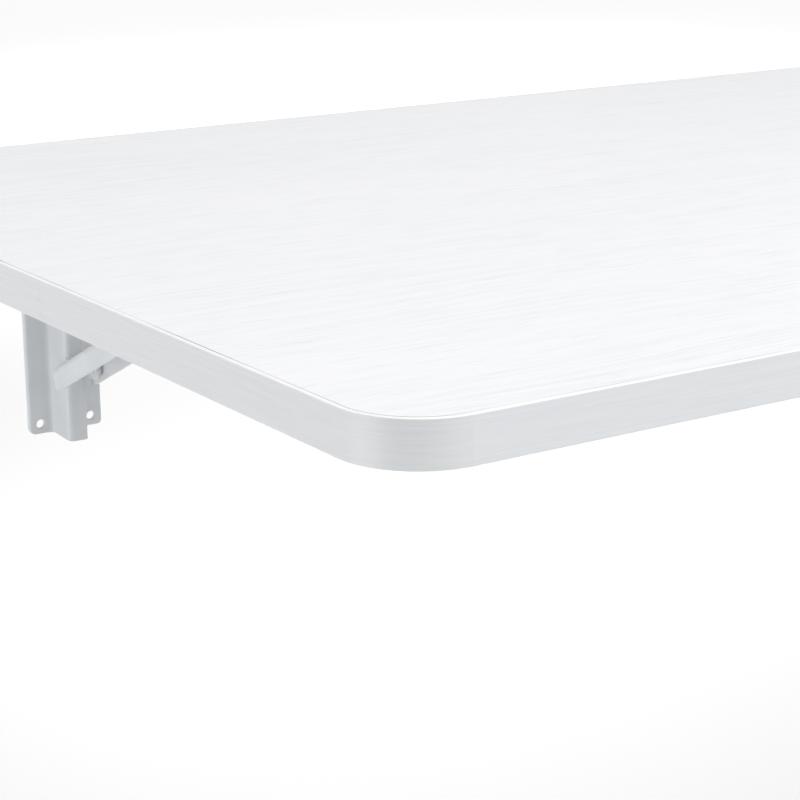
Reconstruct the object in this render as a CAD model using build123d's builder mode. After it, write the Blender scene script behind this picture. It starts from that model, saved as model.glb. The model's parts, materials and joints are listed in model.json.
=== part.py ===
from build123d import *
import math
import os

# Wall mounted drop leaf table: a rounded top on two folding sheet steel brackets.
# Frame: wall plane at y = 0, room towards -Y, +X along the wall, +Z up.
# The origin is on the wall, midway between the brackets, at mid height of the wall holes.

# Top
top_length = 1000.0
top_depth = 600.0
top_thick = 18.0
corner_radius = 32.0
laminate_thick = 0.8
band_thick = 2.0
band_edge_radius = 0.5
seam_gap = 0.12
seam_from_front = 265.0
wall_gap = 1.0
top_surface_z = 108.0

# How close an edge or corner must lie to its named place to be picked for rounding
pick_room = 0.05

# Bracket positions and fold geometry
rail_inset = 160.0
fold_axis_drop = 12.0
pivot_from_wall = 29.2
pivot_spacing = 101.3
strut_angle = 26.0
folded_angle = 90.0

# Wall rail: the ridge's walls lean inwards and its lower end is cut at a slant
rail_sheet = 2.5
flange_half = 23.8
ridge_foot_half = 8.7
ridge_front_half = 6.05
ridge_depth = 20.5
ridge_end_drop = 2.7
rail_top_drop = 23.0
flange_bottom_drop = 173.8
flange_corner = 4.0
flange_edge_flat = 0.4
ridge_inner_radius = 1.0
ridge_foot_radius = 4.0
wall_hole_radius = 2.75
wall_hole_spacing_x = 32.8
wall_hole_spacing_z = 120.0
hole_rim = 0.4

# Pins and their fits
pin_radius = 3.0
running_clearance = 0.06
seat_clearance = 0.3
side_gap = 0.3

# Strut: channel, open below, with its web and soft bends on the upper side
strut_half = 12.5
strut_sheet = 1.8
strut_web_rise = 6.5
strut_leg_drop = 7.9
strut_heel = 15.4
strut_toe = 7.5
strut_bend_radius = 4.5
strut_heel_radius = 3.0
strut_toe_radius = 6.5
strut_foot_notch = 17.0
strut_toe_notch = 30.0
strut_collar_radius = 4.0
seat_sweep_step = 1.0

# Clevises
clevis_sheet = 1.8
clevis_ear_radius = 6.5
clevis_bend_radius = 2.4

# Shelf arm
arm_sheet = 2.0
arm_side_room = 0.8
arm_leg_drop = 8.0
arm_back = 14.0
arm_nose = 392.0
arm_bend_radius = 2.6
arm_back_radius = 7.0
arm_nose_radius = 11.0
slot_end_gap = 0.2
lock_window_length = 10.0
lock_window_width = 6.0
lock_window_corner = 1.5

# Hinge pin head, slide bushes and slide pin head
pin_head_radius = 5.0
pin_head_thick = 1.8
pin_head_dome = 1.2
bush_radius = 4.0
bush_flange_radius = 5.6
bush_flange_thick = 1.0
bush_flange_gap = 0.1

# Release lever, measured from the slide pin
lever_hub_radius = 4.2
lever_hub_gap = 0.4
lever_half = 1.5
lever_boss_radius = 5.6
lever_tail_length = 50.0
lever_tail_rise = 2.5
lever_tail_drop = 4.5
lever_tail_bottom = 14.0
lever_neck_start = 34.0
lever_neck_lead = 4.0
lever_tooth_start = 9.0
lever_tooth_end = 15.0
lever_tooth_back_slant = 1.0
lever_tooth_front_slant = 2.0
lever_tooth_gap = 0.3
lever_pad_half = 9.0
lever_pad_start = 37.0
lever_pad_thick = 2.0
lever_pad_rim = 0.9
lever_pad_corner = 2.7

# Lever spring
spring_wire_radius = 0.5
spring_coil_radius = 5.0
spring_pitch = 1.3
spring_turns = 3.0
spring_start = 3.2
spring_leg = 9.0

# Arm screws: the first three stand at these distances from the fold axis, the last near the nose
screw_first = 45.0
screw_second = 150.0
screw_third = 185.0
screw_from_nose = 12.0
screw_head_radius = 4.0
screw_head_thick = 2.2
screw_head_dome = 0.8
screw_shank_radius = 2.0
screw_shank_length = 12.0
screw_hole_clearance = 0.3
screw_recess_width = 1.1
screw_recess_length = 4.4
screw_recess_depth = 1.0

# Derived heights, distances and angles
underside_z = top_surface_z - top_thick
fold_axis_z = underside_z - fold_axis_drop
strut_pivot_z = fold_axis_z - pivot_spacing
pivot_y = -pivot_from_wall
top_back_y = -wall_gap
top_front_y = top_back_y - top_depth
strut_length = pivot_spacing / math.sin(math.radians(strut_angle))
slide_rest = strut_length * math.cos(math.radians(strut_angle))
slide_folded = pivot_spacing + strut_length
flange_bottom_z = top_surface_z - flange_bottom_drop
ridge_bottom_z = flange_bottom_z - ridge_end_drop
rail_top_z = top_surface_z - rail_top_drop
ridge_lean = (ridge_foot_half - ridge_front_half) / (ridge_depth - rail_sheet)
strut_web_half = strut_half - strut_bend_radius
strut_inner_half = strut_half - strut_sheet
arm_inner_half = strut_half + arm_side_room
arm_half = arm_inner_half + arm_sheet
arm_web_under = fold_axis_drop - arm_sheet
bore_radius = pin_radius + running_clearance
bracket_x = {"left": -(top_length / 2 - rail_inset), "right": top_length / 2 - rail_inset}
screw_places = [(side_x, pivot_y - station) for side_x in bracket_x.values()
                for station in (screw_first, screw_second, screw_third, arm_nose - screw_from_nose)]

os.makedirs("parts", exist_ok=True)


def bracket_plane(x, z, tilt=0.0):
    """Side view plane: local x runs out from the wall, tilted up, local y runs up."""
    out = (0, -math.cos(math.radians(tilt)), math.sin(math.radians(tilt)))
    return Plane(origin=(x, pivot_y, z), x_dir=out, z_dir=(-1, 0, 0))


def ridge_outline(x, back, front, inset=0.0):
    """Ridge section between two distances from the wall, its leaning walls moved in by the inset."""
    halves = [ridge_foot_half - (away - rail_sheet) * ridge_lean - inset * math.hypot(1, ridge_lean)
              for away in (back, front)]
    return [(x - halves[0], -back), (x - halves[1], -front), (x + halves[1], -front), (x + halves[0], -back)]


def pin_seen_from_strut(fold):
    """Where the slide pin stands in the strut's own frame once the leaf has folded by this angle."""
    slide = slide_rest + (slide_folded - slide_rest) * fold / folded_angle
    turn = math.radians(strut_angle - (folded_angle + strut_angle) * fold / folded_angle)
    leaf = math.radians(fold)
    out = slide * math.cos(leaf) - strut_length * math.cos(turn)
    up = pivot_spacing - slide * math.sin(leaf) - strut_length * math.sin(turn)
    return Vector(out * math.cos(turn) + up * math.sin(turn), up * math.cos(turn) - out * math.sin(turn))


# ---- Top ----
top_centre = (0, (top_back_y + top_front_y) / 2)

with BuildPart() as table_core:
    with BuildSketch(Plane.XY.offset(underside_z + laminate_thick)):
        with Locations(top_centre):
            RectangleRounded(top_length - 2 * band_thick, top_depth - 2 * band_thick,
                             corner_radius - band_thick)
    extrude(amount=top_thick - 2 * laminate_thick)
    with BuildSketch(Plane.XY.offset(underside_z + laminate_thick)):
        with Locations(*screw_places):
            Circle(screw_shank_radius)
    extrude(amount=screw_shank_length - arm_sheet - laminate_thick, mode=Mode.SUBTRACT)
table_core.part.label = "table_core"
export_step(table_core.part, "parts/table_core.step")

with BuildPart() as bottom_laminate:
    with BuildSketch(Plane.XY.offset(underside_z)):
        with Locations(top_centre):
            RectangleRounded(top_length - 2 * band_thick, top_depth - 2 * band_thick,
                             corner_radius - band_thick)
        with Locations(*screw_places):
            Circle(screw_shank_radius, mode=Mode.SUBTRACT)
    extrude(amount=laminate_thick)
bottom_laminate.part.label = "bottom_laminate"
export_step(bottom_laminate.part, "parts/bottom_laminate.step")

with BuildPart() as top_laminate:
    with BuildSketch(Plane.XY.offset(top_surface_z - laminate_thick)):
        with Locations(top_centre):
            RectangleRounded(top_length - 2 * band_thick, top_depth - 2 * band_thick,
                             corner_radius - band_thick)
    extrude(amount=laminate_thick)
top_laminate.part.label = "top_laminate"
export_step(top_laminate.part, "parts/top_laminate.step")

with BuildPart() as edge_band:
    with BuildSketch(Plane.XY.offset(underside_z)):
        with Locations(top_centre):
            RectangleRounded(top_length, top_depth, corner_radius)
    extrude(amount=top_thick)
    fillet(edge_band.faces().sort_by(Axis.Z)[-1].edges(), band_edge_radius)
    fillet(edge_band.faces().sort_by(Axis.Z)[0].edges(), band_edge_radius)
    with BuildSketch(Plane.XY.offset(underside_z)):
        with Locations(top_centre):
            RectangleRounded(top_length - 2 * band_thick, top_depth - 2 * band_thick,
                             corner_radius - band_thick)
    extrude(amount=top_thick, mode=Mode.SUBTRACT)
    # the band's two ends meet in one fine seam on the left end of the top
    with Locations((-top_length / 2 + band_thick / 2, top_front_y + seam_from_front,
                    underside_z + top_thick / 2)):
        Box(2 * band_thick, seam_gap, 2 * top_thick, mode=Mode.SUBTRACT)
edge_band.part.label = "edge_band"
export_step(edge_band.part, "parts/edge_band.step")

# ---- Brackets ----
for side, side_x in bracket_x.items():
    fold_plane = bracket_plane(side_x, fold_axis_z)
    strut_plane = bracket_plane(side_x, strut_pivot_z, strut_angle)

    # Wall rail: pressed hat section cut to length
    with BuildPart() as wall_rail:
        with BuildSketch(Plane.XY.offset(ridge_bottom_z)) as hat:
            with Locations((side_x, -rail_sheet / 2)):
                Rectangle(2 * flange_half, rail_sheet)
            with BuildLine():
                Polyline(*ridge_outline(side_x, 0, ridge_depth), close=True)
            make_face()
            for corner_half, corner_depth, corner_round in (
                    (ridge_front_half, ridge_depth, ridge_inner_radius + rail_sheet),
                    (ridge_foot_half, rail_sheet, ridge_foot_radius),
                    (flange_half, rail_sheet, rail_sheet - flange_edge_flat)):
                fillet([v for v in hat.vertices()
                        if abs(abs(v.X - side_x) - corner_half) < pick_room
                        and abs(v.Y + corner_depth) < pick_room], corner_round)
        extrude(amount=rail_top_z - ridge_bottom_z)
        mouth_outline = ridge_outline(side_x, 0, ridge_depth - rail_sheet, rail_sheet)
        with BuildSketch(Plane.XY.offset(ridge_bottom_z)) as hollow:
            with BuildLine():
                Polyline(*mouth_outline, close=True)
            make_face()
            fillet(hollow.vertices().group_by(Axis.Y)[0], ridge_inner_radius)
        extrude(amount=rail_top_z - ridge_bottom_z, mode=Mode.SUBTRACT)
        # the bend at the ridge's foot keeps the sheet's thickness on the wall side
        mouth_edges = [e for e in wall_rail.edges().filter_by(Axis.Z)
                       if abs(e.center().Y) < pick_room
                       and abs(abs(e.center().X - side_x) - (mouth_outline[3][0] - side_x)) < pick_room]
        fillet(mouth_edges, ridge_foot_radius + rail_sheet)
        # front view: flanges with rounded corners, ridge a little longer
        with BuildSketch(Plane.XZ):
            with Locations((side_x, (flange_bottom_z + rail_top_z) / 2)):
                RectangleRounded(2 * flange_half, rail_top_z - flange_bottom_z, flange_corner)
            with Locations((side_x, (ridge_bottom_z + rail_top_z) / 2)):
                Rectangle(2 * (ridge_foot_half + ridge_foot_radius), rail_top_z - ridge_bottom_z)
        extrude(amount=ridge_depth, mode=Mode.INTERSECT)
        # side view: the ridge's lower end slants down from the flanges to its front
        with BuildSketch(Plane.YZ.offset(side_x)):
            with BuildLine():
                Polyline((0, rail_top_z), (-ridge_depth, rail_top_z), (-ridge_depth, ridge_bottom_z),
                         (-rail_sheet, flange_bottom_z), (0, flange_bottom_z), close=True)
            make_face()
        extrude(amount=flange_half, both=True, mode=Mode.INTERSECT)
        with BuildSketch(Plane.XZ):
            with Locations((side_x, 0)):
                with GridLocations(wall_hole_spacing_x, wall_hole_spacing_z, 2, 2):
                    Circle(wall_hole_radius)
        extrude(amount=ridge_depth, mode=Mode.SUBTRACT)
        hole_edges = [e for e in wall_rail.edges().filter_by(GeomType.CIRCLE)
                      if abs(e.center().Y + rail_sheet) < pick_room
                      and abs(e.radius - wall_hole_radius) < pick_room]
        fillet(hole_edges, hole_rim)
    wall_rail.part.label = f"{side}_wall_rail"
    export_step(wall_rail.part, f"parts/{side}_wall_rail.step")

    # Clevises: folded from sheet, web welded flat on the ridge, ears either side of the pivot
    web_back = -(pivot_from_wall - ridge_depth)
    for clevis_name, clevis_plane, clevis_half in (
            ("hinge_clevis", fold_plane, arm_inner_half - side_gap),
            ("strut_clevis", bracket_plane(side_x, strut_pivot_z), strut_web_half - side_gap)):
        with BuildPart() as clevis:
            with BuildSketch(clevis_plane):
                Circle(clevis_ear_radius)
                with Locations((web_back / 2, 0)):
                    Rectangle(-web_back, 2 * clevis_ear_radius)
            extrude(amount=clevis_half, both=True)
            bend_edges = [e for e in clevis.edges().filter_by(Axis.Z)
                          if e.center().Y > pivot_y - web_back - pick_room]
            fillet(bend_edges, clevis_bend_radius)
            with BuildSketch(clevis_plane):
                with Locations((web_back + clevis_sheet + clevis_ear_radius + pin_radius, 0)):
                    Rectangle(2 * (clevis_ear_radius + pin_radius), 3 * clevis_ear_radius)
            extrude(amount=clevis_half - clevis_sheet, both=True, mode=Mode.SUBTRACT)
            with BuildSketch(clevis_plane):
                Circle(bore_radius)
            extrude(amount=clevis_half, both=True, mode=Mode.SUBTRACT)
        clevis.part.label = f"{side}_{clevis_name}"
        export_step(clevis.part, f"parts/{side}_{clevis_name}.step")

    # Shelf arm: inverted U with a slot in each leg
    with BuildPart() as shelf_arm:
        with BuildSketch(fold_plane) as arm_side:
            with Locations(((arm_nose - arm_back) / 2, (fold_axis_drop - arm_leg_drop) / 2)):
                Rectangle(arm_nose + arm_back, fold_axis_drop + arm_leg_drop)
            fillet(arm_side.vertices().group_by(Axis.Y)[0].sort_by(Axis.X)[0], arm_back_radius)
            fillet(arm_side.vertices().group_by(Axis.X)[-1].sort_by(Axis.Y)[0], arm_nose_radius)
        extrude(amount=arm_half, both=True)
        fillet(shelf_arm.edges().filter_by(Axis.Y).group_by(Axis.Z)[-1], arm_bend_radius)
        with BuildSketch(fold_plane):
            with Locations(((arm_nose - arm_back) / 2, -arm_leg_drop)):
                Rectangle(2 * arm_nose, 2 * (arm_web_under + arm_leg_drop))
        extrude(amount=arm_inner_half, both=True, mode=Mode.SUBTRACT)
        slot_start = slide_rest - slot_end_gap
        slot_end = slide_folded + slot_end_gap
        with BuildSketch(fold_plane):
            with Locations(((slot_start + slot_end) / 2, 0)):
                SlotCenterToCenter(slot_end - slot_start, 2 * (bush_radius + running_clearance))
            Circle(pin_radius)
        extrude(amount=arm_half, both=True, mode=Mode.SUBTRACT)
        arm_screw_places = [place for place in screw_places if place[0] == side_x]
        with BuildSketch(Plane.XY.offset(underside_z)):
            with Locations(*arm_screw_places):
                Circle(screw_shank_radius + screw_hole_clearance)
            # window over the lever's tooth at the raised position
            with Locations((side_x, pivot_y - slide_rest - (lever_tooth_start + lever_tooth_end) / 2)):
                RectangleRounded(lock_window_width, lock_window_length, lock_window_corner)
        extrude(amount=-2 * arm_sheet, mode=Mode.SUBTRACT)
    shelf_arm.part.label = f"{side}_shelf_arm"
    export_step(shelf_arm.part, f"parts/{side}_shelf_arm.step")

    # Hinge pin with domed heads outside the arm
    with BuildPart() as hinge_pin:
        with BuildSketch(fold_plane):
            Circle(pin_radius)
        extrude(amount=arm_half, both=True)
        for end in (-1, 1):
            with BuildSketch(Plane.YZ.offset(side_x + end * arm_half)):
                with Locations((pivot_y, fold_axis_z)):
                    Circle(pin_head_radius)
            extrude(amount=end * pin_head_thick)
        fillet([hinge_pin.edges().sort_by(Axis.X)[0], hinge_pin.edges().sort_by(Axis.X)[-1]],
               pin_head_dome)
    hinge_pin.part.label = f"{side}_hinge_pin"
    export_step(hinge_pin.part, f"parts/{side}_hinge_pin.step")

    # Arm screws: pan heads under the web, shanks up into the board
    screw_seat_z = fold_axis_z + arm_web_under
    with BuildPart() as arm_screws:
        with BuildSketch(Plane.XY.offset(screw_seat_z)):
            with Locations(*arm_screw_places):
                Circle(screw_head_radius)
        extrude(amount=-screw_head_thick)
        with BuildSketch(Plane.XY.offset(screw_seat_z)):
            with Locations(*arm_screw_places):
                Circle(screw_shank_radius)
        extrude(amount=screw_shank_length)
        fillet(arm_screws.edges().group_by(Axis.Z)[0], screw_head_dome)
        with BuildSketch(Plane.XY.offset(screw_seat_z - screw_head_thick)):
            with Locations(*arm_screw_places):
                Rectangle(screw_recess_length, screw_recess_width)
                Rectangle(screw_recess_width, screw_recess_length)
        extrude(amount=screw_recess_depth, mode=Mode.SUBTRACT)
    arm_screws.part.label = f"{side}_arm_screws"
    export_step(arm_screws.part, f"parts/{side}_arm_screws.step")

    # Strut: channel cut to length, web and bends coped away at both ends
    strut_reach = strut_heel + strut_length + strut_toe
    strut_height = strut_web_rise + strut_leg_drop
    section_plane = Plane(origin=strut_plane.from_local_coords((-strut_heel, 0)),
                          x_dir=(1, 0, 0), z_dir=strut_plane.x_dir)
    with BuildPart() as strut:
        with BuildSketch(section_plane):
            for inset, mode in ((0, Mode.ADD), (strut_sheet, Mode.SUBTRACT)):
                with BuildSketch(mode=Mode.PRIVATE) as profile:
                    with Locations((0, (strut_web_rise - strut_leg_drop) / 2 - inset)):
                        Rectangle(2 * (strut_half - inset), strut_height)
                    fillet(profile.vertices().group_by(Axis.Y)[-1], strut_bend_radius - inset)
                add(profile.sketch, mode=mode)
        extrude(amount=strut_reach)
        # side view: rounded corners at the heel and under the toe
        with BuildSketch(strut_plane) as strut_side:
            with Locations((strut_reach / 2 - strut_heel, (strut_web_rise - strut_leg_drop) / 2)):
                Rectangle(strut_reach, strut_height)
            fillet(strut_side.vertices().group_by(Axis.X)[0], strut_heel_radius)
            fillet(strut_side.vertices().group_by(Axis.X)[-1].sort_by(Axis.Y)[0], strut_toe_radius)
        extrude(amount=strut_half, both=True, mode=Mode.INTERSECT)
        # notches with round ends: round the clevis at the heel, round the lever at the toe
        notch_plane = Plane(origin=strut_plane.from_local_coords((0, strut_web_rise - strut_bend_radius)),
                            x_dir=strut_plane.x_dir, z_dir=strut_plane.y_dir)
        with BuildSketch(notch_plane):
            for notch_end, open_end in ((strut_foot_notch, -strut_heel),
                                        (strut_length - strut_toe_notch, strut_length + strut_toe)):
                round_centre = notch_end + math.copysign(strut_inner_half, open_end - notch_end)
                with Locations((round_centre, 0)):
                    Circle(strut_inner_half)
                with Locations(((round_centre + open_end) / 2, 0)):
                    Rectangle(abs(open_end - round_centre), 2 * strut_inner_half)
        extrude(amount=strut_bend_radius, mode=Mode.SUBTRACT)
        # open hook seat: the slide pin lifts off it at the start of the fold and lands on it at the end
        leave = pin_seen_from_strut(seat_sweep_step).normalized()
        land = pin_seen_from_strut(folded_angle - seat_sweep_step).normalized()
        seat_radius = pin_radius + seat_clearance
        pin_home = Vector(strut_length, 0)
        right_foot = pin_home + Vector(leave.Y, -leave.X) * seat_radius
        left_foot = pin_home + Vector(-land.Y, land.X) * seat_radius
        rise = 2 * strut_web_rise
        right_tip = right_foot + leave * ((rise - right_foot.Y) / leave.Y)
        left_tip = left_foot + land * ((rise - left_foot.Y) / land.Y)
        with BuildSketch(strut_plane):
            with Locations((pin_home.X, pin_home.Y)):
                Circle(seat_radius)
            with BuildLine():
                Polyline((right_foot.X, right_foot.Y), (right_tip.X, right_tip.Y),
                         (left_tip.X, left_tip.Y), (left_foot.X, left_foot.Y),
                         (pin_home.X, pin_home.Y), close=True)
            make_face()
            Circle(pin_radius)
        extrude(amount=strut_half, both=True, mode=Mode.SUBTRACT)
    strut.part.label = f"{side}_strut"
    export_step(strut.part, f"parts/{side}_strut.step")

    # Strut pin, flush with the strut's faces, with a collar between each clevis ear and the strut's leg
    with BuildPart() as strut_pin:
        with BuildSketch(strut_plane):
            Circle(pin_radius)
        extrude(amount=strut_half, both=True)
        for end in (-1, 1):
            with BuildSketch(Plane.YZ.offset(side_x + end * strut_web_half)):
                with Locations((pivot_y, strut_pivot_z)):
                    Circle(strut_collar_radius)
            extrude(amount=end * (strut_inner_half - side_gap - strut_web_half))
    strut_pin.part.label = f"{side}_strut_pin"
    export_step(strut_pin.part, f"parts/{side}_strut_pin.step")

    # Slide pin: long pin with a domed head at each end
    slide_plane = Plane(origin=(side_x, pivot_y - slide_rest, fold_axis_z),
                        x_dir=(0, -1, 0), z_dir=(-1, 0, 0))
    flange_start = arm_half + bush_flange_gap
    slide_head_start = flange_start + bush_flange_thick
    with BuildPart() as slide_pin:
        with BuildSketch(slide_plane):
            Circle(pin_radius)
        extrude(amount=slide_head_start, both=True)
        for end in (-1, 1):
            with BuildSketch(Plane.YZ.offset(side_x + end * slide_head_start)):
                with Locations((pivot_y - slide_rest, fold_axis_z)):
                    Circle(pin_head_radius)
            extrude(amount=end * pin_head_thick)
        fillet([slide_pin.edges().sort_by(Axis.X)[0], slide_pin.edges().sort_by(Axis.X)[-1]],
               pin_head_dome)
    slide_pin.part.label = f"{side}_slide_pin"
    export_step(slide_pin.part, f"parts/{side}_slide_pin.step")

    # Slide bushes: a sleeve in each slot with a flange outside the leg
    for bush_name, end in (("slide_bush_a", -1), ("slide_bush_b", 1)):
        with BuildPart() as bush:
            with BuildSketch(Plane.YZ.offset(side_x + end * (arm_inner_half + bush_flange_gap))):
                with Locations((pivot_y - slide_rest, fold_axis_z)):
                    Circle(bush_radius)
                    Circle(pin_radius, mode=Mode.SUBTRACT)
            extrude(amount=end * (arm_sheet))
            with BuildSketch(Plane.YZ.offset(side_x + end * flange_start)):
                with Locations((pivot_y - slide_rest, fold_axis_z)):
                    Circle(bush_flange_radius)
                    Circle(pin_radius, mode=Mode.SUBTRACT)
            extrude(amount=end * bush_flange_thick)
        bush.part.label = f"{side}_{bush_name}"
        export_step(bush.part, f"parts/{side}_{bush_name}.step")

    # Release lever: hub on the slide pin, tail out to a finger pad, tooth up to the arm's window
    hub_half = strut_inner_half - lever_hub_gap
    with BuildPart() as release_lever:
        with BuildSketch(slide_plane):
            Circle(lever_boss_radius)
            with BuildLine():
                Polyline((0, lever_tail_rise), (lever_tooth_start, lever_tail_rise),
                         (lever_tooth_start + lever_tooth_back_slant, arm_web_under - lever_tooth_gap),
                         (lever_tooth_end - lever_tooth_front_slant, arm_web_under - lever_tooth_gap),
                         (lever_tooth_end, lever_tail_rise),
                         (lever_neck_start, lever_tail_rise),
                         (lever_tail_length, -lever_tail_bottom + lever_pad_thick),
                         (lever_tail_length, -lever_tail_bottom),
                         (lever_pad_start, -lever_tail_bottom),
                         (lever_neck_start - lever_neck_lead, -lever_tail_drop),
                         (0, -lever_tail_drop), close=True)
            make_face()
        extrude(amount=lever_half, both=True)
        with BuildSketch(slide_plane):
            with Locations(((lever_pad_start + lever_tail_length) / 2,
                            -lever_tail_bottom + lever_pad_thick / 2)):
                Rectangle(lever_tail_length - lever_pad_start, lever_pad_thick)
        extrude(amount=lever_pad_half, both=True)
        pad_corners = [e for e in release_lever.edges().filter_by(Axis.Z)
                       if abs(abs(e.center().X - side_x) - lever_pad_half) < pick_room]
        fillet(pad_corners, lever_pad_corner)
        pad_rims = [e for e in release_lever.edges()
                    if abs(e.center().X - side_x) > lever_half + pick_room
                    and e.center().Z < fold_axis_z - lever_tail_bottom + pick_room]
        fillet(pad_rims, lever_pad_rim)
        with BuildSketch(slide_plane):
            Circle(lever_hub_radius)
        extrude(amount=hub_half, both=True)
        with BuildSketch(slide_plane):
            Circle(bore_radius)
        extrude(amount=hub_half, both=True, mode=Mode.SUBTRACT)
    release_lever.part.label = f"{side}_release_lever"
    export_step(release_lever.part, f"parts/{side}_release_lever.step")

    # Torsion spring round the lever's hub, both legs out along the arm
    spring_origin = Vector(side_x + spring_start, pivot_y - slide_rest, fold_axis_z)
    spring_height = spring_pitch * spring_turns
    with BuildPart() as lever_spring:
        with BuildLine() as spring_path:
            coil = Helix(spring_pitch, spring_height, spring_coil_radius,
                         center=spring_origin, direction=(1, 0, 0))
            Line(coil @ 0, (coil @ 0) - (coil % 0) * spring_leg)
            Line(coil @ 1, (coil @ 1) + (coil % 1) * spring_leg)
        with BuildSketch(Plane(origin=spring_path.line @ 0, z_dir=spring_path.line % 0)):
            Circle(spring_wire_radius)
        sweep(path=spring_path.line)
    lever_spring.part.label = f"{side}_lever_spring"
    export_step(lever_spring.part, f"parts/{side}_lever_spring.step")
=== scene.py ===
import bpy
import json
import math
from mathutils import Matrix, Vector


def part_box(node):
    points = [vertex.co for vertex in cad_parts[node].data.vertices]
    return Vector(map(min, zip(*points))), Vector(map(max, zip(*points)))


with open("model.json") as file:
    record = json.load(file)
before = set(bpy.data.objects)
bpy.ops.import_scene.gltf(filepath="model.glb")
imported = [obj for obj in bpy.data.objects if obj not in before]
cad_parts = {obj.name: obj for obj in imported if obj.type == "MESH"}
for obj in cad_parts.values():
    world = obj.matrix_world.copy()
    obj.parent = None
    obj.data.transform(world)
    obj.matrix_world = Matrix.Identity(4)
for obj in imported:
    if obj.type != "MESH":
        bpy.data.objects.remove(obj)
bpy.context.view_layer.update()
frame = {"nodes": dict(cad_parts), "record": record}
cadNodes = frame["nodes"]
print("frame loaded:", len(cadNodes), "pieces")

mm = 0.001

# Where most of a noise's values lie, and where most of a soft cloud's lie
noiseSpan = (0.3, 0.7)
cloudSpan = (0.35, 0.65)
mottleSpan = (0.4, 0.65)
roughGrain = {"detail": 3.0, "roughness": 0.6}
bevelSamples = 4


def linearColour(hexColour):
    # sRGB hex such as F4F6F9 to the linear colour that the shaders take
    channels = [int(hexColour[i:i + 2], 16) / 255 for i in (0, 2, 4)]
    return [c / 12.92 if c <= 0.04045 else ((c + 0.055) / 1.055) ** 2.4 for c in channels] + [1.0]


def addNode(tree, kind, settings=None, inputs=None):
    # one shader node with its settings; an input is a value or another node's output
    node = tree.nodes.new(kind)
    for name, value in (settings or {}).items():
        setattr(node, name, value)
    for key, value in (inputs or {}).items():
        if isinstance(value, bpy.types.NodeSocket):
            tree.links.new(value, node.inputs[key])
        else:
            node.inputs[key].default_value = value
    return node


def startMaterial(name, colour, roughness, metallic=0.0, ior=1.5):
    material = bpy.data.materials.new(name)
    material.use_nodes = True
    tree = material.node_tree
    shader = tree.nodes["Principled BSDF"]
    shader.inputs["Base Color"].default_value = linearColour(colour)
    shader.inputs["Roughness"].default_value = roughness
    shader.inputs["Metallic"].default_value = metallic
    if not metallic:
        shader.inputs["IOR"].default_value = ior
    place = addNode(tree, "ShaderNodeTexCoord").outputs["Object"]
    return material, tree, shader, place


def grainNoise(tree, place, size, detail=2.0, roughness=0.5):
    # noise whose blotches are about size = (x, y, z) metres
    stretched = addNode(tree, "ShaderNodeMapping", {"vector_type": "POINT"},
                        {"Vector": place, "Scale": [1 / s for s in size]})
    return addNode(tree, "ShaderNodeTexNoise", {},
                   {"Vector": stretched.outputs[0], "Scale": 1.0, "Detail": detail,
                    "Roughness": roughness}).outputs["Fac"]


def remap(tree, value, low, high, toLow=0.0, toHigh=1.0):
    return addNode(tree, "ShaderNodeMapRange", {"clamp": True},
                   {"Value": value, "From Min": low, "From Max": high,
                    "To Min": toLow, "To Max": toHigh}).outputs[0]


def mixColour(tree, factor, first, second):
    # sockets 6 and 7 take the two colours, output 2 gives their mix
    node = addNode(tree, "ShaderNodeMix", {"data_type": "RGBA"}, {0: factor})
    for index, colour in ((6, first), (7, second)):
        if isinstance(colour, bpy.types.NodeSocket):
            tree.links.new(colour, node.inputs[index])
        else:
            node.inputs[index].default_value = linearColour(colour)
    return node.outputs[2]


def calculate(tree, operation, first, second=0.0):
    return addNode(tree, "ShaderNodeMath", {"operation": operation}, {0: first, 1: second}).outputs[0]


def bumpFrom(tree, height, depth, normal=None):
    # depth is the real height of the relief in metres
    inputs = {"Height": height, "Distance": depth, "Strength": 1.0}
    if normal is not None:
        inputs["Normal"] = normal
    return addNode(tree, "ShaderNodeBump", {}, inputs).outputs[0]


def roundedEdge(tree, radius):
    # edges of cut sheet and board are broken by a fine radius
    return addNode(tree, "ShaderNodeBevel", {"samples": bevelSamples}, {"Radius": radius}).outputs[0]


def varyRoughness(tree, shader, noise, look):
    # the finish is a little smoother and a little rougher from place to place
    smoother, rougher = look["roughnessSpread"]
    varied = remap(tree, noise, *noiseSpan, look["roughness"] - smoother, look["roughness"] + rougher)
    tree.links.new(varied, shader.inputs["Roughness"])


# Camera: at the front left corner of the top, looking in and down at it
cameraPlace = {"place": (-0.8536, -1.13815, 0.30037), "yaw": 33.609, "pitch": -15.852,
               "roll": 0.333, "lens": 95.89, "sensor": 36.0, "nearest": 0.01, "farthest": 200.0}
cameraData = bpy.data.cameras.new("camera")
cameraData.lens = cameraPlace["lens"]
cameraData.sensor_width = cameraPlace["sensor"]
cameraData.clip_start = cameraPlace["nearest"]
cameraData.clip_end = cameraPlace["farthest"]
camera = bpy.data.objects.new("camera", cameraData)
bpy.context.scene.collection.objects.link(camera)
camera.matrix_world = (Matrix.Translation(cameraPlace["place"])
                       @ Matrix.Rotation(-math.radians(cameraPlace["yaw"]), 4, "Z")
                       @ Matrix.Rotation(math.radians(90 + cameraPlace["pitch"]), 4, "X")
                       @ Matrix.Rotation(-math.radians(cameraPlace["roll"]), 4, "Z"))
bpy.context.scene.camera = camera
print("camera placed")

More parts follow.
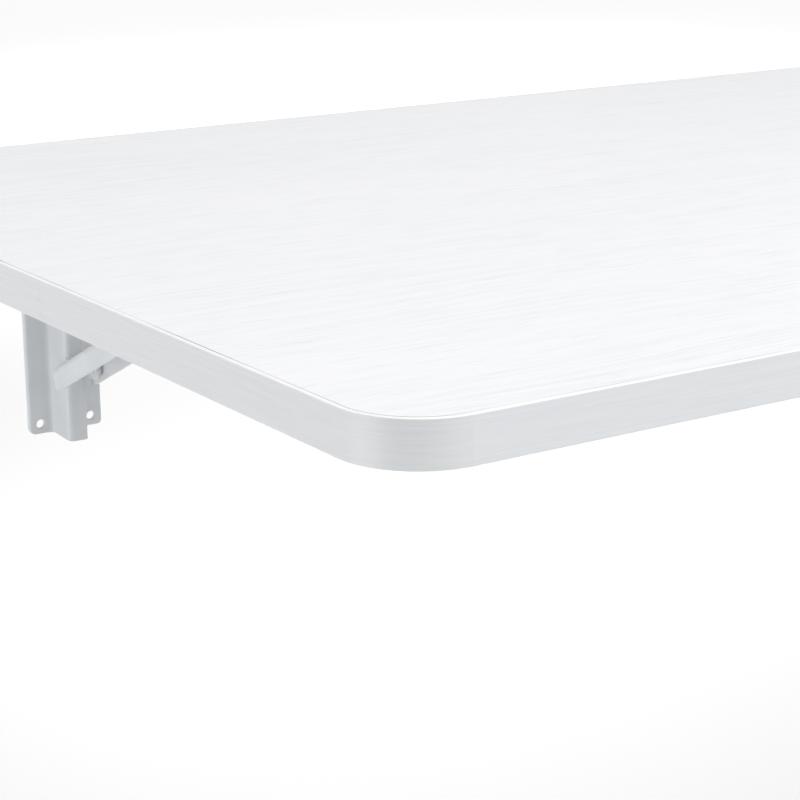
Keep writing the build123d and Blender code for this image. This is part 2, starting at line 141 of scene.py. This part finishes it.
# Studio: pale floor, pale surroundings and soft lights
studio = {"floorDrop": 1.9, "floorSize": 120.0, "floorColour": "FCFCFC", "floorRoughness": 0.9,
          "roomColour": "FFFFFF", "roomStrength": 0.3926}
softLights = [
    {"name": "overheadSoftbox", "place": (0.0, -0.6, 2.6), "aim": (0.0, -0.35, 0.1),
     "size": (2.6, 2.0), "power": 36.4, "spread": 180},
    {"name": "frontTopSoftbox", "place": (-0.3, -2.4, 2.2), "aim": (0.0, -0.35, 0.1),
     "size": (2.0, 1.6), "power": 19.0, "spread": 180},
    {"name": "leftBackSoftbox", "place": (-2.3, 1.9, 0.6), "aim": (-0.45, -0.2, 0.0),
     "size": (1.3, 1.8), "power": 13.0, "spread": 180},
    {"name": "leftLowSoftbox", "place": (-2.2, -0.2, -0.9), "aim": (-0.45, -0.25, 0.0),
     "size": (1.4, 1.2), "power": 15.1, "spread": 180},
    {"name": "rightSoftbox", "place": (2.0, -2.8, 1.2), "aim": (0.0, -0.5, 0.1),
     "size": (1.6, 1.6), "power": 45.8, "spread": 180},
    {"name": "floorWashNear", "place": (2.6, 3.4, 0.6), "aim": (2.6, 3.4, 0.0),
     "size": (4.5, 3.5), "power": 15.2, "spread": 80},
    {"name": "floorWashMiddle", "place": (5.5, 8.5, 5.0), "aim": (5.5, 8.5, 0.0),
     "size": (12.0, 11.0), "power": 234.0, "spread": 80},
    {"name": "floorWashFar", "place": (15.0, 20.0, 7.0), "aim": (15.0, 20.0, 0.0),
     "size": (26.0, 22.0), "power": 1120.0, "spread": 80},
]
floorMesh = bpy.data.meshes.new("studioFloor")
half = studio["floorSize"] / 2
floorMesh.from_pydata([(-half, -half, 0), (half, -half, 0), (half, half, 0), (-half, half, 0)],
                      [], [(0, 1, 2, 3)])
studioFloor = bpy.data.objects.new("studioFloor", floorMesh)
studioFloor.location = (0, 0, -studio["floorDrop"])
bpy.context.scene.collection.objects.link(studioFloor)
floorMesh.materials.append(startMaterial("mattePaper", studio["floorColour"], studio["floorRoughness"])[0])

room = bpy.data.worlds.new("paleRoom")
room.use_nodes = True
roomShader = room.node_tree.nodes["Background"]
roomShader.inputs["Color"].default_value = linearColour(studio["roomColour"])
roomShader.inputs["Strength"].default_value = studio["roomStrength"]
bpy.context.scene.world = room

for light in softLights:
    lampData = bpy.data.lights.new(light["name"], "AREA")
    lampData.shape = "RECTANGLE"
    lampData.size, lampData.size_y = light["size"]
    lampData.energy = light["power"]
    lampData.spread = math.radians(light["spread"])
    lamp = bpy.data.objects.new(light["name"], lampData)
    lamp.location = light["place"]
    lamp.rotation_mode = "QUATERNION"
    lamp.rotation_quaternion = (Vector(light["aim"]) - Vector(light["place"])).to_track_quat("-Z", "Y")
    bpy.context.scene.collection.objects.link(lamp)
bpy.context.scene.view_settings.view_transform = "Standard"
print("studio built")

# White melamine, pressed over chipboard with a wood grain plate: satin, with faint long streaks along
# the board and fine short pores that only show where light grazes them
melamineLook = {"colour": "F8F8FA", "streakColour": "EFF1F4", "poreColour": "E4E6EB", "roughness": 0.42,
                "roughnessSpread": (0.05, 0.06), "streakSize": (0.26, 0.0024, 0.1),
                "streakSpan": (0.42, 0.62), "poreSize": (0.030, 0.0011, 0.01), "poreSpan": (0.56, 0.66),
                "poreShare": 0.5, "cloudSize": (0.22, 0.07, 0.1), "thinnestStreak": 0.3,
                "waveSize": (0.30, 0.12, 0.1), "waveReach": 0.010, "streakRelief": 0.6,
                "poreDepth": 0.04 * mm}

# Thin dark line along the joint between the laminate and the edge band; its corner radius is the laminate's
# own
jointLook = {"colour": "979BA1", "width": 0.55 * mm, "core": 0.25, "fade": 0.75, "cornerRadius": 30 * mm,
             "patchSize": (0.11, 0.11, 0.11), "patchSpan": (0.40, 0.58), "faintest": 0.12}


def withJoint(tree, place, colour):
    # the line is stronger in some places along the edge and fainter in others
    low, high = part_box("top_laminate")
    middle = (low + high) / 2
    reach = (high - low) / 2
    radius = jointLook["cornerRadius"]
    parts = addNode(tree, "ShaderNodeSeparateXYZ", {}, {0: place})
    inward = []
    for axis, centre, size in ((0, middle.x, reach.x), (1, middle.y, reach.y)):
        offset = calculate(tree, "ABSOLUTE", calculate(tree, "SUBTRACT", parts.outputs[axis], centre))
        inward.append(calculate(tree, "SUBTRACT", offset, size - radius))
    outer = [calculate(tree, "MAXIMUM", value, 0.0) for value in inward]
    squares = [calculate(tree, "MULTIPLY", value, value) for value in outer]
    away = calculate(tree, "SQRT", calculate(tree, "ADD", squares[0], squares[1]))
    inside = calculate(tree, "MINIMUM", calculate(tree, "MAXIMUM", inward[0], inward[1]), 0.0)
    distance = calculate(tree, "SUBTRACT", calculate(tree, "ADD", away, inside), radius)
    core, fade = jointLook["width"] * jointLook["core"], jointLook["width"] * jointLook["fade"]
    line = remap(tree, calculate(tree, "ABSOLUTE", distance), core, fade, 1.0, 0.0)
    patchiness = remap(tree, grainNoise(tree, place, jointLook["patchSize"], 1.0), *jointLook["patchSpan"],
                 jointLook["faintest"], 1.0)
    return mixColour(tree, calculate(tree, "MULTIPLY", line, patchiness), colour, jointLook["colour"])


def makeMelamine():
    look = melamineLook
    material, tree, shader, place = startMaterial("whiteMelamine", look["colour"], look["roughness"])
    # the streaks wander a little, as grain does
    wave = grainNoise(tree, place, look["waveSize"], 1.0)
    shift = remap(tree, wave, *noiseSpan, -look["waveReach"], look["waveReach"])
    parts = addNode(tree, "ShaderNodeSeparateXYZ", {}, {0: place})
    moved = addNode(tree, "ShaderNodeCombineXYZ", {},
                    {0: parts.outputs[0], 1: calculate(tree, "ADD", parts.outputs[1], shift),
                     2: parts.outputs[2]}).outputs[0]
    streaks = grainNoise(tree, moved, look["streakSize"], **roughGrain)
    clouds = grainNoise(tree, place, look["cloudSize"], **roughGrain)
    pores = remap(tree, grainNoise(tree, moved, look["poreSize"]), *look["poreSpan"])
    strength = calculate(tree, "MULTIPLY", remap(tree, streaks, *look["streakSpan"]),
                         remap(tree, clouds, *cloudSpan, look["thinnestStreak"], 1.0))
    colour = mixColour(tree, strength, look["colour"], look["streakColour"])
    colour = mixColour(tree, calculate(tree, "MULTIPLY", pores, look["poreShare"]), colour,
                       look["poreColour"])
    tree.links.new(withJoint(tree, place, colour), shader.inputs["Base Color"])
    raised = remap(tree, streaks, *noiseSpan, 0.0, look["streakRelief"])
    relief = calculate(tree, "SUBTRACT", raised, pores)
    tree.links.new(bumpFrom(tree, relief, look["poreDepth"]), shader.inputs["Normal"])
    varyRoughness(tree, shader, streaks, look)
    return material


# ABS edging, extruded and printed with a fine lengthwise grain: satin, a touch softer than the top
# the rim colour and height paint a highlight along the band's upper rim
bandLook = {"colour": "EDEFF1", "grainColour": "E7EAED", "rimHighlightColour": "FDFCFA", "rimHighlightHeight": 0.40 * mm,
            "roughness": 0.38, "roughnessSpread": (0.05, 0.07), "grainSize": (0.045, 0.045, 0.0009),
            "lineSize": (0.02, 0.02, 0.0004), "grainShare": 0.65, "grainSpan": (0.38, 0.64),
            "grainDepth": 0.003 * mm, "ior": 1.52}


def makeBand():
    look = bandLook
    material, tree, shader, place = startMaterial("absEdging", look["colour"], look["roughness"],
                                                  ior=look["ior"])
    grain = grainNoise(tree, place, look["grainSize"], **roughGrain)
    fine = grainNoise(tree, place, look["lineSize"], 1.0)
    both = calculate(tree, "ADD", calculate(tree, "MULTIPLY", grain, look["grainShare"]),
                     calculate(tree, "MULTIPLY", fine, 1 - look["grainShare"]))
    colour = mixColour(tree, remap(tree, both, *look["grainSpan"]), look["colour"], look["grainColour"])
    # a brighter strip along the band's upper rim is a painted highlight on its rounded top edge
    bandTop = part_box("edge_band")[1].z
    height = addNode(tree, "ShaderNodeSeparateXYZ", {}, {0: place}).outputs[2]
    rimHighlight = remap(tree, height, bandTop - look["rimHighlightHeight"], bandTop - look["rimHighlightHeight"] / 2)
    colour = mixColour(tree, rimHighlight, colour, look["rimHighlightColour"])
    tree.links.new(withJoint(tree, place, colour), shader.inputs["Base Color"])
    tree.links.new(bumpFrom(tree, both, look["grainDepth"]), shader.inputs["Normal"])
    varyRoughness(tree, shader, fine, look)
    return material


# Chipboard, pressed wood chips and resin: matt, straw and brown flakes
chipLook = {"colour": "C9AB7C", "darkFlake": "9B7546", "paleFlake": "E2CDA4", "roughness": 0.85,
            "darkSpan": (0.55, 0.95), "paleSpan": (0.35, 0.05), "flakeSize": 2.6 * mm,
            "flakeDepth": 0.15 * mm}


def makeChipboard():
    look = chipLook
    material, tree, shader, place = startMaterial("rawChipboard", look["colour"], look["roughness"])
    flakes = addNode(tree, "ShaderNodeTexVoronoi", {"feature": "F1"},
                     {"Vector": place, "Scale": 1 / look["flakeSize"]})
    tint = addNode(tree, "ShaderNodeSeparateColor", {}, {0: flakes.outputs["Color"]}).outputs[0]
    colour = mixColour(tree, remap(tree, tint, *look["darkSpan"]), look["colour"], look["darkFlake"])
    colour = mixColour(tree, remap(tree, tint, *look["paleSpan"]), colour, look["paleFlake"])
    tree.links.new(colour, shader.inputs["Base Color"])
    tree.links.new(bumpFrom(tree, flakes.outputs["Distance"], look["flakeDepth"]), shader.inputs["Normal"])
    return material


# Polyester powder coat, baked on pressed sheet steel: satin white with a soft orange peel
coatLook = {"colour": "E1E4E6", "shadeColour": "DADDE0", "roughness": 0.40,
            "roughnessSpread": (0.04, 0.05), "peelSize": (1.1 * mm, 1.1 * mm, 1.1 * mm),
            "peelRoughness": 0.45, "peelDepth": 0.012 * mm, "cloudSize": (0.03, 0.03, 0.03),
            "edgeRadius": 0.35 * mm, "coat": 0.12, "coatRoughness": 0.25}


def makeCoat():
    look = coatLook
    material, tree, shader, place = startMaterial("powderCoatedSteel", look["colour"], look["roughness"])
    peel = grainNoise(tree, place, look["peelSize"], roughness=look["peelRoughness"])
    cloud = grainNoise(tree, place, look["cloudSize"])
    colour = mixColour(tree, remap(tree, cloud, *cloudSpan), look["colour"], look["shadeColour"])
    tree.links.new(colour, shader.inputs["Base Color"])
    shader.inputs["Coat Weight"].default_value = look["coat"]
    shader.inputs["Coat Roughness"].default_value = look["coatRoughness"]
    varyRoughness(tree, shader, peel, look)
    tree.links.new(bumpFrom(tree, peel, look["peelDepth"], roundedEdge(tree, look["edgeRadius"])),
                   shader.inputs["Normal"])
    return material


# Zinc plated steel, barrel plated after turning or stamping: bright grey with a fine mottle
zincLook = {"colour": "C6C8CC", "dullColour": "A9ACB1", "roughness": 0.30,
            "roughnessSpread": (0.06, 0.14), "mottleSize": (1.6 * mm, 1.6 * mm, 1.6 * mm),
            "scratchSize": (0.2 * mm, 6 * mm, 6 * mm), "scratchDepth": 0.004 * mm,
            "edgeRadius": 0.15 * mm}


def makeZinc():
    look = zincLook
    material, tree, shader, place = startMaterial("zincPlatedSteel", look["colour"], look["roughness"], 1.0)
    mottle = grainNoise(tree, place, look["mottleSize"], **roughGrain)
    scratch = grainNoise(tree, place, look["scratchSize"])
    tree.links.new(mixColour(tree, remap(tree, mottle, *mottleSpan), look["colour"], look["dullColour"]),
                   shader.inputs["Base Color"])
    varyRoughness(tree, shader, mottle, look)
    tree.links.new(bumpFrom(tree, scratch, look["scratchDepth"], roundedEdge(tree, look["edgeRadius"])),
                   shader.inputs["Normal"])
    return material


# Nylon, injection moulded: milky and slightly see-through, with a dull satin skin
nylonLook = {"colour": "E4E3DC", "shadeColour": "D8D7CF", "roughness": 0.46, "ior": 1.53,
             "skinSize": (0.7 * mm, 0.7 * mm, 0.7 * mm), "skinDetail": 3.0, "skinDepth": 0.006 * mm,
             "edgeRadius": 0.15 * mm, "inner": 0.12, "innerReach": 1.2 * mm}


def makeNylon():
    look = nylonLook
    material, tree, shader, place = startMaterial("mouldedNylon", look["colour"], look["roughness"],
                                                  ior=look["ior"])
    skin = grainNoise(tree, place, look["skinSize"], look["skinDetail"])
    tree.links.new(mixColour(tree, remap(tree, skin, *cloudSpan), look["colour"], look["shadeColour"]),
                   shader.inputs["Base Color"])
    shader.inputs["Subsurface Weight"].default_value = look["inner"]
    shader.inputs["Subsurface Scale"].default_value = look["innerReach"]
    tree.links.new(bumpFrom(tree, skin, look["skinDepth"], roundedEdge(tree, look["edgeRadius"])),
                   shader.inputs["Normal"])
    return material


# Spring steel wire, drawn and oiled: grey and bright, with fine drawing lines round the wire
springLook = {"colour": "8E9196", "dullColour": "74777C", "roughness": 0.26,
              "roughnessSpread": (0.05, 0.12), "drawSize": (0.5 * mm, 0.5 * mm, 0.5 * mm),
              "drawDetail": 3.0, "drawDepth": 0.003 * mm}


def makeSpringSteel():
    look = springLook
    material, tree, shader, place = startMaterial("drawnSpringSteel", look["colour"], look["roughness"], 1.0)
    draw = grainNoise(tree, place, look["drawSize"], look["drawDetail"])
    tree.links.new(mixColour(tree, remap(tree, draw, *mottleSpan), look["colour"], look["dullColour"]),
                   shader.inputs["Base Color"])
    varyRoughness(tree, shader, draw, look)
    tree.links.new(bumpFrom(tree, draw, look["drawDepth"]), shader.inputs["Normal"])
    return material


finishes = {"white_melamine": makeMelamine(), "white_edge_band": makeBand(), "chipboard": makeChipboard(),
            "white_powder_coat": makeCoat(), "zinc_steel": makeZinc(), "nylon": makeNylon(),
            "spring_steel": makeSpringSteel()}
for subpart in frame["record"]["subparts"]:
    piece = cadNodes[subpart["node"]]
    for index in range(len(piece.data.materials)):
        piece.data.materials[index] = finishes[subpart["material_slot"]]
print("finishes given to", len(cadNodes), "pieces")
